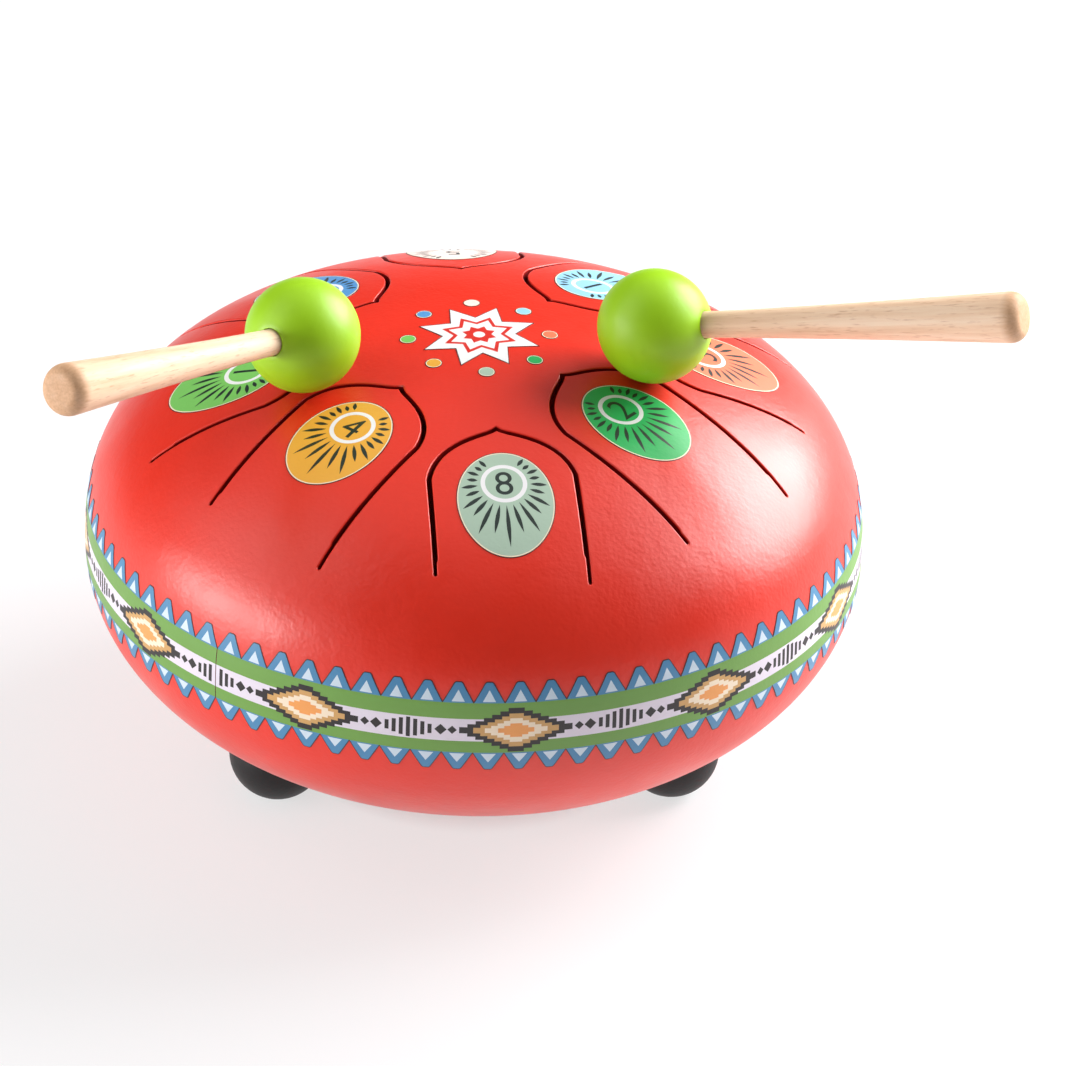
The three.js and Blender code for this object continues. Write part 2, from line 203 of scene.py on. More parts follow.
def inside(points, loops):
    """Whether each point is inside an odd number of the loops."""
    result = np.zeros(len(points), bool)
    x, y = points[:, 0], points[:, 1]
    for loop in loops:
        low_x, low_y = loop.min(0)
        high_x, high_y = loop.max(0)
        near = np.flatnonzero((x > low_x) & (x < high_x) & (y > low_y) & (y < high_y))
        if not len(near):
            continue
        px, py = x[near][:, None], y[near][:, None]
        ax, ay = loop.T
        bx, by = np.roll(loop, -1, 0).T
        crosses = (ay > py) != (by > py)
        rise = np.where(by == ay, 1, by - ay)
        hits = crosses & (px < ax + (py - ay) * (bx - ax) / rise)
        result[near] ^= hits.sum(1) % 2 == 1
    return result


class Net:
    """Points and edges in a plane, for triangles that keep those edges."""

    def __init__(self):
        self.points, self.edges = [], []

    def chain(self, points, closed=True, first=None, last=None):
        ids = list(range(len(self.points), len(self.points) + len(points)))
        self.points += [tuple(p) for p in points]
        ids = ([] if first is None else [first]) + ids + ([] if last is None else [last])
        self.edges += list(zip(ids, ids[1:] + ids[:1] if closed else ids[1:]))
        return ids

    def triangles(self, spacing, region):
        """All the points, the edges' own ones first, and triangles over their convex hull."""
        own = len(self.points)
        tree = KDTree(own)
        for i, p in enumerate(self.points):
            tree.insert((*p, 0), i)
        tree.balance()
        lo, hi = np.min(self.points, 0), np.max(self.points, 0)
        rows = np.arange(lo[1], hi[1], spacing * math.sqrt(3) / 2)
        fill = []
        for k, y in enumerate(rows):
            xs = np.arange(lo[0] + (k % 2) * spacing / 2, hi[0], spacing)
            fill.append(np.stack([xs, np.full_like(xs, y)], 1))
        fill = np.concatenate(fill)
        fill = fill[inside(fill, region)]
        keep = [p for p in fill if tree.find((*p, 0))[2] > FILL_CLEARANCE * spacing]
        points = [Vector(p) for p in self.points] + [Vector(p) for p in keep]
        verts, _, faces, origin, _, _ = delaunay_2d_cdt(points, self.edges, [], 0, 1e-7)
        out = np.array([v[:] for v in verts], float)
        exact = np.array(self.points)
        for i, ids in enumerate(origin):
            ids = [k for k in ids if k < own]
            if ids:
                out[i] = exact[ids[0]]
        return out, np.array([f for f in faces if len(f) == 3])


# Meshes


def add_object(name, data):
    obj = bpy.data.objects.new(name, data)
    bpy.context.scene.collection.objects.link(obj)
    return obj


class Shape:
    """Gathers patches of faces, with a normal for each corner, into one mesh."""

    def __init__(self):
        self.points, self.normals, self.faces, self.looks, self.count = [], [], [], [], 0

    def add(self, points, normals, faces, look=0):
        """Faces whose winding goes against their normals are turned over."""
        points, normals = np.asarray(points, float), np.asarray(normals, float)
        looks = look if hasattr(look, "__len__") else [look] * len(faces)
        for face, slot in zip(faces, looks):
            face = [int(i) for i in face]
            a, b, c = points[face[:3]]
            if np.dot(np.cross(b - a, c - b), normals[face].sum(0)) < 0:
                face = face[::-1]
            self.faces.append([i + self.count for i in face])
            self.looks.append(slot)
        self.points.append(points)
        self.normals.append(normals)
        self.count += len(points)

    def strip(self, rings, normals, closed, look=0):
        """Quads between rings of points."""
        n = len(rings[0])
        faces = []
        for r in range(len(rings) - 1):
            for i in range(n if closed else n - 1):
                j = (i + 1) % n
                faces.append((r * n + i, r * n + j, (r + 1) * n + j, (r + 1) * n + i))
        self.add(np.concatenate(rings), np.concatenate(normals), faces, look)

    def build(self, name, materials, place=None):
        """The object; place is the turn and origin of a piece that was drawn about its own axis."""
        points, normals = np.concatenate(self.points), np.concatenate(self.normals)
        _, first, weld = np.unique(
            np.round(points * WELD).astype(np.int64), axis=0, return_index=True, return_inverse=True
        )
        weld = weld.ravel()
        faces, corners, looks = [], [], []
        for face, look in zip(self.faces, self.looks):
            ids, picked = [], []
            for i in face:
                w = int(weld[i])
                if w not in ids:
                    ids.append(w)
                    picked.append(normals[i])
            if len(ids) > 2:
                faces.append(ids)
                corners += picked
                looks.append(look)
        mesh = bpy.data.meshes.new(name)
        corners = np.array(corners)
        corners /= np.maximum(np.linalg.norm(corners, axis=1), 1e-9)[:, None]
        own = points = points[first]
        if place is not None:
            turn, origin = place
            points, corners = own @ turn.T + origin, corners @ turn.T
        mesh.from_pydata((points * MM + CENTRE).tolist(), [], faces)
        for material in materials:
            mesh.materials.append(material)
        mesh.polygons.foreach_set("material_index", looks)
        mesh.polygons.foreach_set("use_smooth", [True] * len(faces))
        mesh.normals_split_custom_set(corners.tolist())
        mesh.update()
        if place is not None:
            grain = mesh.attributes.new("grain", "FLOAT_VECTOR", "POINT")
            grain.data.foreach_set("vector", (own * MM).astype(np.float32).ravel())
        return add_object(name, mesh)


def wall(shape, chain, place, normals, closed=False):
    """A plain wall through the sheet, along a chain of points."""
    rings = [place(chain, lift)[0] for lift in (0.0, -SHEET)]
    shape.strip(rings, [normals, normals], closed)


def sheet_faces(shape, points, faces, place):
    """A steel sheet's two faces."""
    for lift, side in ((0.0, 1), (-SHEET, -1)):
        places, normals = place(points, lift)
        shape.add(places, side * normals, faces)


def rolled_edge(shape, edge, place, roll, closed, shade_look=0):
    """A rolled edge and the wall below it; edge(grow) gives the edge's line in the plane."""
    start = edge(roll)
    base, up = place(start)
    side = place(edge(0.0))[0] - base
    side -= (side * up).sum(1)[:, None] * up
    side /= np.linalg.norm(side, axis=1)[:, None]
    rings, normals = [base], [up]
    for step in (1, 2, 3):
        turn = step * math.pi / 6
        shift, depth = roll * math.sin(turn), roll * (1 - math.cos(turn))
        rings.append(place(edge(roll - shift), -depth)[0])
        normals.append(math.cos(turn) * up + math.sin(turn) * side)
    shape.strip(rings, normals, closed)
    rings.append(place(edge(0.0), -SHEET)[0])
    # The wall and the underside take their own look: in the slots, the darker paint that is partly
    # painted shade
    shape.strip(rings[-2:], [side, side], closed, shade_look)
    under = place(start, -SHEET)[0]
    shape.strip([rings[-1], under], [-up, -up], closed, shade_look)
    return rings + [under]


# Tongues

ROOT = float(np.interp(arc_at_height(UPPER_PEAK), ARCS, RADII)) - ROOT_INSET
HALF = ROOT * WIDTH_SHARE
ROOT_HALF = ROOT * ROOT_WIDTH_SHARE
TIP_DEPTH = ROOT * TIP_SHARE


def slot_half(share, reach):
    """The slot's middle line from the tip to one side's end, with normals away from the tongue."""
    apex = ROOT * (1 - share)
    handles = [(apex + lean * TIP_DEPTH, out * HALF) for lean, out in zip(TIP_LEAN, TIP_SPREAD)]
    controls = [Vector((x, y, 0)) for x, y in ((apex, 0), *handles, (apex + TIP_DEPTH, HALF))]
    curve = np.array(interpolate_bezier(*controls, TIP_STEPS))[:, :2]
    curve = curve[(curve[:, 1] == 0) | (curve[:, 1] > CUSP_START)]
    curve[:, 0] -= CUSP * np.exp(-curve[:, 1] / CUSP_SPREAD)
    full = np.array([ROOT, ROOT_HALF]) - curve[-1]
    end = curve[-1] + full * (reach - curve[-1][0]) / full[0]
    jog = curve[-1] + full * (ROOT - JOG_START - curve[-1][0]) / full[0]
    straight = densify([curve[-1], jog], SIDE_SPACING, False)[1:-1]
    last = densify([jog, end], JOG_SPACING, False)
    line = np.concatenate([curve, straight, last])
    lead = np.gradient(line, axis=0)
    lead /= np.linalg.norm(lead, axis=1)[:, None]
    return line, np.stack([-lead[:, 1], lead[:, 0]], 1)


def half_chains(share, grow, reach):
    """The dome's side, with its round end, and the tongue's side of half a slot in plan."""
    line, out = slot_half(share, reach)
    step = np.clip((line[:, 0] - (ROOT - JOG_START)) / JOG_LENGTH, 0, 1)
    narrow = JOG_DEPTH * step * step * (3 - 2 * step)
    sides = []
    for sign, width in ((1, SLOT_HALF + grow), (-1, SLOT_HALF + grow - narrow)):
        edge = line + sign * out * np.broadcast_to(width, len(line))[:, None]
        edge[0] = line[0] + (sign * np.ravel(width)[0] / out[0, 0], 0)
        edge[-1, 0] = reach
        sides.append(edge)
    outer, inner = sides
    middle, radius = (outer[-1] + inner[-1]) / 2, (outer[-1, 1] - inner[-1, 1]) / 2
    cap = middle + radius * unit(np.linspace(math.pi / 2, -math.pi / 2, CAP_STEPS)[1:])
    return np.concatenate([outer, cap]), inner


def slot_chains(share, grow):
    """The dome's and the tongue's side of a slot in plan, each moved out of the slot by grow."""
    near, far = [half_chains(share, grow, ROOT - SLOT_ENDS[side]) for side in (-1, 1)]
    return [np.concatenate([(a * (1, -1))[:0:-1], b]) for a, b in zip(near, far)]


def steel_caps(shape, rings, facing):
    """Closes the ends of an edge's rings with flat faces that look one way."""
    for end in (0, -1):
        corner = np.array([ring[end] for ring in rings])
        shape.add(corner, np.tile(facing, (len(corner), 1)), [range(len(corner))])


def slot_side(shape, side, share, angle, chord):
    """A slot's edge on the dome, side 0, or the tongue, side 1, and the cut across the root."""

    def edge(grow):
        return from_plan(slot_chains(share, grow)[side], angle)

    facing = (2 * side - 1) * np.array([math.cos(angle), math.sin(angle), 0])
    # Look 1 is the slots' darker paint: partly thin paint over the cut steel, partly painted shade
    steel_caps(shape, rolled_edge(shape, edge, place_dome, SLOT_ROLL, False, 1), facing)
    wall(shape, chord, place_dome, np.tile(facing, (len(chord), 1)))


def make_dome(enamel, shadow):
    """The dome and its eight tongues, cut from one sheet of triangles so that they meet exactly."""
    net = Net()
    ribbons, tongues, plans = [], [], []
    for k, (note, share) in enumerate(TONGUES.items()):
        angle = FIRST_DIRECTION + k * PITCH
        outer, inner = slot_chains(share, SLOT_ROLL)
        chord = densify([inner[0], inner[-1]], CHORD_SPACING, False)[1:-1]
        outer, inner, chord = [from_plan(part, angle) for part in (outer, inner, chord)]
        loop = np.concatenate([outer, inner[-2:0:-1]])
        ids = net.chain(loop)
        net.chain(chord, False, ids[0], ids[len(outer) - 1])
        ribbons.append(loop)
        tongues.append(np.concatenate([inner, chord[::-1]]))
        plans.append((note, share, angle, np.concatenate([inner[:1], chord, inner[-1:]])))
    rim = float(arc_at_height(SEAM))
    circle = rim * unit(full_turn(RIM_STEPS))
    net.chain(circle)
    points, faces = net.triangles(DOME_SPACING, [circle])
    middle = points[faces].mean(1)
    cut = inside(middle, ribbons)
    owner = np.full(len(faces), -1)
    for k, loop in enumerate(tongues):
        owner[inside(middle, [loop]) & ~cut] = k

    shape = Shape()
    sheet_faces(shape, points, faces[(owner == -1) & ~cut], place_dome)
    wall(shape, circle, place_dome, np.tile((0, 0, -1.0), (RIM_STEPS, 1)), closed=True)
    for _, share, angle, chord in plans:
        slot_side(shape, 0, share, angle, chord)
    dome = shape.build("dome_skin", [enamel, shadow])
    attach(dome, "drum")
    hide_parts("upper_shell")

    for k, (note, share, angle, chord) in enumerate(plans):
        shape = Shape()
        sheet_faces(shape, points, faces[owner == k], place_dome)
        slot_side(shape, 1, share, angle, chord)
        tongue = shape.build(f"tongue_skin_{note}", [enamel, shadow])
        bend(tongue, note, angle)
        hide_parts(f"tongue_{note}")


def bend(piece, note, angle):
    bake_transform(piece)


# Prints: thin films whose colours share one sheet of triangles

PRINT_LIFT, PRINT_SINK = 0.1, -0.06


def add_print(shape, layers, place, spacing):
    """A film of layers, each of loops and a material's number; later ones cover earlier ones."""
    net = Net()
    for loops, _ in layers:
        for loop in loops:
            net.chain(loop)
    points, faces = net.triangles(spacing, [np.concatenate(layers[0][0])])
    middle = points[faces].mean(1)
    look = np.full(len(faces), -1)
    for loops, number in layers:
        look[inside(middle, loops)] = number
    faces, look = faces[look >= 0], look[look >= 0]
    used = {}
    for face in faces:
        for a, b in zip(face, np.roll(face, -1)):
            used.setdefault((min(a, b), max(a, b)), []).append(tuple(face))
    owner = dict(zip(map(tuple, faces), look))
    top, up = place(points, PRINT_LIFT)
    under = place(points, PRINT_SINK)[0]
    shape.add(top, up, faces, look.tolist())
    shape.add(under, -up, faces, look.tolist())
    for (a, b), near in used.items():
        if len(near) > 1:
            continue
        opposite = top[[i for i in near[0] if i not in (a, b)][0]]
        out = np.cross(top[b] - top[a], up[a])
        out *= -np.sign(np.dot(out, opposite - top[a])) or 1
        corners = [top[a], top[b], under[b], under[a]]
        shape.add(corners, np.tile(out, (4, 1)), [(0, 1, 2, 3)], int(owner[near[0]]))


def on_dome(layers, angle):
    """A print's layers, drawn in plan along +X, on the unrolled dome."""
    return [
        ([from_plan(densify(loop, PRINT_SPACING), angle) for loop in loops], number)
        for loops, number in layers
    ]


def ellipse(centre, size, steps):
    """Its size is a radius or two half widths."""
    return np.array(centre) + unit(full_turn(steps)) * size


def leaf(start, end, width, steps=5):
    """A slim pointed stroke."""
    start, end = np.array(start, float), np.array(end, float)
    lead = end - start
    across = np.array([-lead[1], lead[0]]) / np.hypot(*lead)
    part = np.linspace(0, 1, steps + 1)
    side = across * (width / 2 * np.sin(math.pi * part))[:, None]
    line = start + lead * part[:, None]
    return np.concatenate([line + side, (line - side)[-2:0:-1]])


def digit_loops(text, height):
    """A plain digit's outlines, centred on the origin and upright along +Y."""
    data = bpy.data.curves.new("digit", "FONT")
    data.body = text
    obj = add_object("digit", data)
    bpy.context.view_layer.update()
    curve = obj.to_curve(bpy.context.evaluated_depsgraph_get())
    loops = []
    for spline in curve.splines:
        points = spline.bezier_points
        loop = []
        for a, b in zip(points, list(points[1:]) + [points[0]]):
            corners = interpolate_bezier(a.co, a.handle_right, b.handle_left, b.co, DIGIT_STEPS)
            loop += [v[:2] for v in corners[:-1]]
        loops.append(np.array(loop))
    obj.to_curve_clear()
    bpy.data.objects.remove(obj)
    bpy.data.curves.remove(data)
    every = np.concatenate(loops)
    lo, hi = every.min(0), every.max(0)
    return [(loop - (lo + hi) / 2) * height / (hi - lo)[1] for loop in loops]


def tidy_loop(loop, least=0.03):
    """Drops points that nearly coincide."""
    keep = [loop[0]]
    for p in loop[1:]:
        if np.hypot(*(p - keep[-1])) > least:
            keep.append(p)
    if np.hypot(*(keep[-1] - keep[0])) < least:
        keep.pop()
    return np.array(keep)


SPOT_HALF_LENGTH, SPOT_HALF_WIDTH = 14.8, 12.0
SPOT_PLACE = 1.2556  # from a tongue's point to its spot's middle, of the half width
SPOT_LAYERS = (0.0, -0.17, -0.46)  # line, rim and colour, from the spot's edge
DISC_SHIFT = 5.0  # from the spot's middle to the digit's, towards the crown
RING_RADII = (5.7, 4.6)
DIGIT_HEIGHT = 6.9
RAY_START = 6.4  # from the middle of the digit
RAY_SPAN, RAY_PITCH, RAY_WIDTH = 144, 14.4, 1.05
RAY_SHARES = (0.82, 0.62)  # long and short rays, of the room to the spot's edge
SPOT_SPACING = 1.8


def ray_length(start, lead):
    """From a place on the spot's long axis to the spot's edge."""
    a = (lead[0] / SPOT_HALF_LENGTH) ** 2 + (lead[1] / SPOT_HALF_WIDTH) ** 2
    b = start * lead[0] / SPOT_HALF_LENGTH**2
    c = (start / SPOT_HALF_LENGTH) ** 2 - 1
    return (math.sqrt(b * b - a * c) - b) / a


def make_notes(inks, fills):
    for k, (note, share) in enumerate(TONGUES.items()):
        angle = FIRST_DIRECTION + k * PITCH
        middle = ROOT * (1 - share) + SPOT_PLACE * HALF
        disc = middle - DISC_SHIFT
        layers = [
            ([ellipse((middle, 0), (SPOT_HALF_LENGTH + grow, SPOT_HALF_WIDTH + grow), 96)], number)
            for number, grow in enumerate(SPOT_LAYERS)
        ]
        rays = []
        for step, turn in enumerate(np.radians(np.arange(-RAY_SPAN, RAY_SPAN + 1, RAY_PITCH))):
            lead = np.array([math.cos(turn), math.sin(turn)])
            room = ray_length(disc - middle, lead) - RAY_START
            reach = RAY_START + room * RAY_SHARES[step % 2]
            rays.append(leaf((disc, 0) + RAY_START * lead, (disc, 0) + reach * lead, RAY_WIDTH))
        layers.append((rays, 3))
        for radius, number in zip(RING_RADII, (4, 2)):
            layers.append(([ellipse((disc, 0), radius, 48)], number))
        digit = digit_loops(str(note), DIGIT_HEIGHT)
        digit = [tidy_loop(turned(loop, -math.pi / 2)) * (-1, -1) + (disc, 0) for loop in digit]
        layers.append((digit, 3))
        shape = Shape()
        add_print(shape, on_dome(layers, angle), place_dome, SPOT_SPACING)
        look = [inks["line"], inks["cream"], fills[note], inks["digit"], inks["white"]]
        film = shape.build(f"note_print_{note}", look)
        bend(film, note, angle)
        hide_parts(f"note_spot_{note}")


STAR_TURN = FIRST_DIRECTION + PITCH / 2
# Reach, waist and ink of the nested stars
STAR_LAYERS = ((15.9, 9.4, 0), (15.5, 9.1, 1), (9.8, 6.5, 2), (8.0, 5.4, 1), (4.5, 3.1, 2))
STAR_POINTS, STAR_DOT, STAR_SPACING = 8, 1.5, 1.6
DOT_PLACE = 18.0
DOT_LAYERS = ((2.15, 28), (2.0, 28), (1.78, 24))  # radius and corners of line, rim and colour


def star_loop(reach, waist):
    loop = []
    for corner in range(2 * STAR_POINTS):
        turn = corner * math.pi / STAR_POINTS
        size = waist if corner % 2 else reach
        loop.append((size * math.cos(turn), size * math.sin(turn)))
    return np.array(loop)


def make_centre(inks, fills):
    layers = [([star_loop(reach, waist)], number) for reach, waist, number in STAR_LAYERS]
    layers.append(([ellipse((0, 0), STAR_DOT, 24)], 1))
    shape = Shape()
    add_print(shape, on_dome(layers, STAR_TURN), place_dome, STAR_SPACING)
    star = shape.build("star_print", [inks["line"], inks["white"], inks["red"]])
    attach(star, "drum")
    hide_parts("centre_star")

    shape = Shape()
    colours = [inks["line"], inks["cream"]] + [fills[n] for n in TONGUES]
    for k in range(len(TONGUES)):
        layers = [
            ([ellipse((DOT_PLACE, 0), radius, corners)], number)
            for (radius, corners), number in zip(DOT_LAYERS, (0, 1, 2 + k))
        ]
        layers = on_dome(layers, FIRST_DIRECTION + k * PITCH)
        add_print(shape, layers, place_dome, PRINT_SPACING)
    dots = shape.build("crown_dots", colours)
    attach(dots, "drum")


# Rim band

BAND_LENGTH = 2 * math.pi * DRUM_RADIUS
TOOTH = BAND_LENGTH / BAND_TEETH
TIP_FLAT, TIP_CORNER, TIP_DROP = 0.7, 1.12, 0.32  # a tooth's blunt tip
BAND_LINE = 0.22  # width of the dark edge line
BAND_GAP = 0.07  # half the gap between the band's two ends
BAND_ENDS = (BAND_GAP + 0.05, BAND_LENGTH - BAND_GAP - 0.05)  # of the inner layers
BAND_SPACING = 2.4
PALE_LIFT = 0.1  # from a valley to a pale triangle's base
UPPER_PALE, LOWER_PALE = (1.6, 3.0), (1.85, 2.6)  # half width and height of the pale triangles
STRIPE = (1.8, 8.0)
REPEATS = 12
# Half width, half height and steps of the nested lozenges
LOZENGES = ((13.8, 6.1, 7), (10.4, 4.6, 6), (7.6, 3.3, 5), (4.4, 1.9, 3))
BAR_HALF = 0.5
BAR_PITCH, BAR_HEIGHTS = 1.75, (2.75, 2.35, 1.85, 1.3)  # half heights, from the middle bar out
BAND_DIAMONDS = ((7.9, 1.5), (10.7, 1.15))  # place and half width


def tooth_half(valley, peak, inset):
    """Half a tooth's outline from base to tip: distance from the tooth's middle, and height."""
    sign = 1 if peak > valley else -1
    height = abs(peak - valley)
    lean = (TOOTH / 2 - TIP_CORNER) / (height - TIP_DROP)
    shift = inset * math.hypot(1, lean)
    base = 0.0 if inset == 0 else -BAND_LINE
    corner = height - TIP_DROP - 0.8 * inset
    return [
        (TOOTH / 2 - shift - lean * base, valley + sign * base),
        (TOOTH / 2 - shift - lean * corner, valley + sign * corner),
        (TIP_FLAT - 0.3 * inset, valley + sign * (height - inset)),
    ]


def stepped(centre, half_x, half_z, steps):
    """A lozenge with stepped sides."""
    quarter = []
    for s in range(steps):
        quarter.append((half_x * (1 - s / steps), half_z * s / steps))
        quarter.append((half_x * (1 - s / steps), half_z * (s + 1) / steps))
    quarter = np.array(quarter)
    left, lower = quarter * (-1, 1), quarter * (1, -1)
    loop = np.concatenate([quarter, left[::-1], quarter * (-1, -1), lower[::-1]])
    return tidy_loop(loop) + centre


def diamond(centre, half):
    return np.array([(half, 0), (0, half), (-half, 0), (0, -half)]) + centre


def upright(centre, half_x, half_z):
    return np.array([(1, 1), (-1, 1), (-1, -1), (1, -1)]) * (half_x, half_z) + centre


def bar(lo, hi):
    """A strip of the band between two heights."""
    first, last = BAND_ENDS
    return [(first, lo), (last, lo), (last, hi), (first, hi)]


def make_band(inks):
    edges, teeth, pales = [], [], []
    for valley, peak, (across, along) in (
        (UPPER_VALLEY, UPPER_PEAK, UPPER_PALE),
        (LOWER_VALLEY, LOWER_PEAK, LOWER_PALE),
    ):
        outer, inner = tooth_half(valley, peak, 0), tooth_half(valley, peak, BAND_LINE)
        sign = 1 if peak > valley else -1
        base = valley + PALE_LIFT * sign
        tip = base + along * sign
        line = []
        for t in range(BAND_TEETH):
            centre = (t + 0.5) * TOOTH
            line += [(centre - x, z) for x, z in outer] + [(centre + x, z) for x, z in outer[:0:-1]]
            tooth = [(centre - x, z) for x, z in inner] + [(centre + x, z) for x, z in inner[::-1]]
            teeth.append(tooth)
            pales.append([(centre - across, base), (centre + across, base), (centre, tip)])
        line[0] = (BAND_GAP, valley)
        line.append((BAND_LENGTH - BAND_GAP, valley))
        edges.append(line)
    outline = edges[0] + edges[1][::-1]
    centre_z = sum(STRIPE) / 2
    width = BAND_LENGTH / REPEATS
    black, ochre, cream, orange = (
        [stepped(((k + 0.5) * width, centre_z), *size) for k in range(REPEATS)] for size in LOZENGES
    )
    marks = []
    for k in range(REPEATS + 1):
        for side in (-1, 1):
            for step, half in enumerate(BAR_HEIGHTS):
                if step or side > 0 and 0 < k < REPEATS:
                    place = k * width + side * BAR_PITCH * step
                    marks.append(upright((place, centre_z), BAR_HALF, half))
            for place, half in BAND_DIAMONDS:
                marks.append(diamond((k * width + side * place, centre_z), half))
    first, last = BAND_ENDS
    marks = [loop for loop in marks if loop[:, 0].min() > first and loop[:, 0].max() < last]
    green = bar(LOWER_VALLEY + BAND_LINE, UPPER_VALLEY - BAND_LINE)
    parts = ([outline], teeth, [green], pales, [bar(*STRIPE)], black + marks, ochre, cream, orange)
    layers = [
        ([densify(loop, BAND_SPACING) for loop in part], number)
        for number, part in enumerate(parts)
    ]
    shape = Shape()
    add_print(shape, layers, place_band, BAND_SPACING)
    names = ("line", "blue", "green", "pale", "stripe", "black", "ochre", "cream", "orange")
    band = shape.build("band_print", [inks[n] for n in names])
    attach(band, "drum")
    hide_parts("rim_band")


# Lower shell, feet and mallets

SOUND_HOLE, HOLE_ROLL = 22.0, 0.6
LIP_HEIGHT, LIP_GAP, LIP_SHOULDER = 6.0, 0.65, 7.0
SEAT_RADIUS = 3.0  # of the holes for the feet's necks


def make_bowl(enamel):
    turn = full_turn(TURN_STEPS)
    spokes = unit(turn)
    out = np.column_stack([spokes, 0 * turn])
    up = np.tile((0, 0, 1.0), (TURN_STEPS, 1))

    def hole(grow):
        return spokes[::2] * (ARC_END - bowl_arc_at_radius(SOUND_HOLE + grow))

    def ring(r, z):
        return out * r + (0, 0, z)

    shoulder = spokes * (ARC_END - arc_at_height(-LIP_SHOULDER))
    net = Net()
    net.chain(hole(HOLE_ROLL))
    net.chain(shoulder)
    far = ARC_END - bowl_arc_at_radius(FOOT_SEAT)
    seats = []
    for angle in FOOT_ANGLES:
        centre = far * np.array([math.cos(angle), math.sin(angle)])
        seats.append(ellipse(centre, SEAT_RADIUS, 24))
        net.chain(seats[-1])
    points, faces = net.triangles(BOWL_SPACING, [shoulder])
    middle = points[faces].mean(1)
    gone = inside(middle, [hole(HOLE_ROLL), *seats])
    shape = Shape()
    sheet_faces(shape, points, faces[~gone], place_bowl)
    rolled_edge(shape, hole, place_bowl, HOLE_ROLL, True)
    for seat in seats:
        inward = place_bowl(seat.mean(0)[None])[0] - place_bowl(seat)[0]
        wall(shape, seat, place_bowl, inward, closed=True)
    # The upright part of the wall, and the lip that nests in the dome
    heights = -LIP_SHOULDER + (LIP_SHOULDER - SEAM) * np.linspace(0, 1, 4)
    rings, normals = zip(*[on_skin(turn, float(arc_at_height(z))) for z in heights])
    shape.strip(list(rings), list(normals), True)
    lip = float(np.interp(arc_at_height(LIP_HEIGHT), ARCS, RADII)) - SHEET - LIP_GAP
    inner = on_skin(turn, float(arc_at_height(-LIP_SHOULDER)), -SHEET)[0]
    corners = [
        (rings[-1], ring(lip, -SEAM), up),
        (ring(lip, -SEAM), ring(lip, LIP_HEIGHT), out),
        (ring(lip, LIP_HEIGHT), ring(lip - SHEET, LIP_HEIGHT), up),
        (ring(lip - SHEET, LIP_HEIGHT), ring(lip - SHEET, -SHEET), -out),
        (ring(lip - SHEET, -SHEET), inner, -out + 0.2 * up),
    ]
    for a, b, normal in corners:
        shape.strip([a, b], [normal, normal], True)
    bowl = shape.build("bowl_skin", [enamel])
    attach(bowl, "drum")
    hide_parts("lower_shell")


SHARP = math.cos(math.radians(35))  # a section's corners that turn further are edges


def lathe(section, steps):
    """Rings about +Z of a list of (radius, height), and normals that break at sharp corners."""
    section = np.array(section, float)
    turn = full_turn(steps)
    cos, sin = np.cos(turn), np.sin(turn)

    def swept(pair):
        return np.stack([pair[0] * cos, pair[0] * sin, np.full(steps, pair[1])], 1)

    lead = np.diff(section, axis=0)
    lead /= np.maximum(np.hypot(*lead.T), 1e-9)[:, None]
    side = np.stack([lead[:, 1], -lead[:, 0]], 1)
    runs, current = [], [0]
    for i in range(1, len(section) - 1):
        current.append(i)
        if np.dot(side[i - 1], side[i]) < SHARP:
            runs.append(current)
            current = [i]
    runs.append(current + [len(section) - 1])
    for run in runs:
        rings, normals = [], []
        for i in run:
            near = [side[j] for j in (i - 1, i) if run[0] <= j < run[-1]]
            mean = np.sum(near, 0)
            rings.append(swept(section[i]))
            normals.append(swept(mean / np.hypot(*mean)))
        yield rings, normals


def make_turned(name, section, steps, material, place, change=None):
    """A piece turned about +Z; the section runs counter-clockwise, its outside on the right."""
    shape = Shape()
    for rings, normals in lathe(section, steps):
        if change:
            rings = [change(r) for r in rings]
        shape.strip(rings, normals, True)
    return shape.build(name, [material], place)


def axis_place(point, direction):
    """A turn that puts +Z along a direction, and the point that the origin goes to."""
    turn = Vector((0, 0, 1)).rotation_difference(Vector(direction).normalized())
    return np.array(turn.to_matrix()), np.asarray(point, float)


def bowl_depth(points):
    """Above zero outside the bowl, below zero inside it."""
    r = np.hypot(points[:, 0], points[:, 1])
    return (r / DRUM_RADIUS) ** BOWL_FLANK + (np.abs(points[:, 2]) / BOWL_DEPTH) ** BOWL_POLE - 1


CHAMFER = 0.4  # of the necks' lips and of the handles' ends in the balls
ON_SHELL = -2.0  # height in a foot's section of the rings that are laid on the shell
FOOT_SKIRT = -0.9  # height where the pad's rounded side begins
SHELL_RADII = (NECK_RADIUS, 4.4, 7.0, 9.8, FOOT_RADIUS - 0.35)  # of the rings laid on the shell
SEEK, HALVINGS, REST_GAP = 6, 40, 0.02  # reach and steps of the search, and the gap left


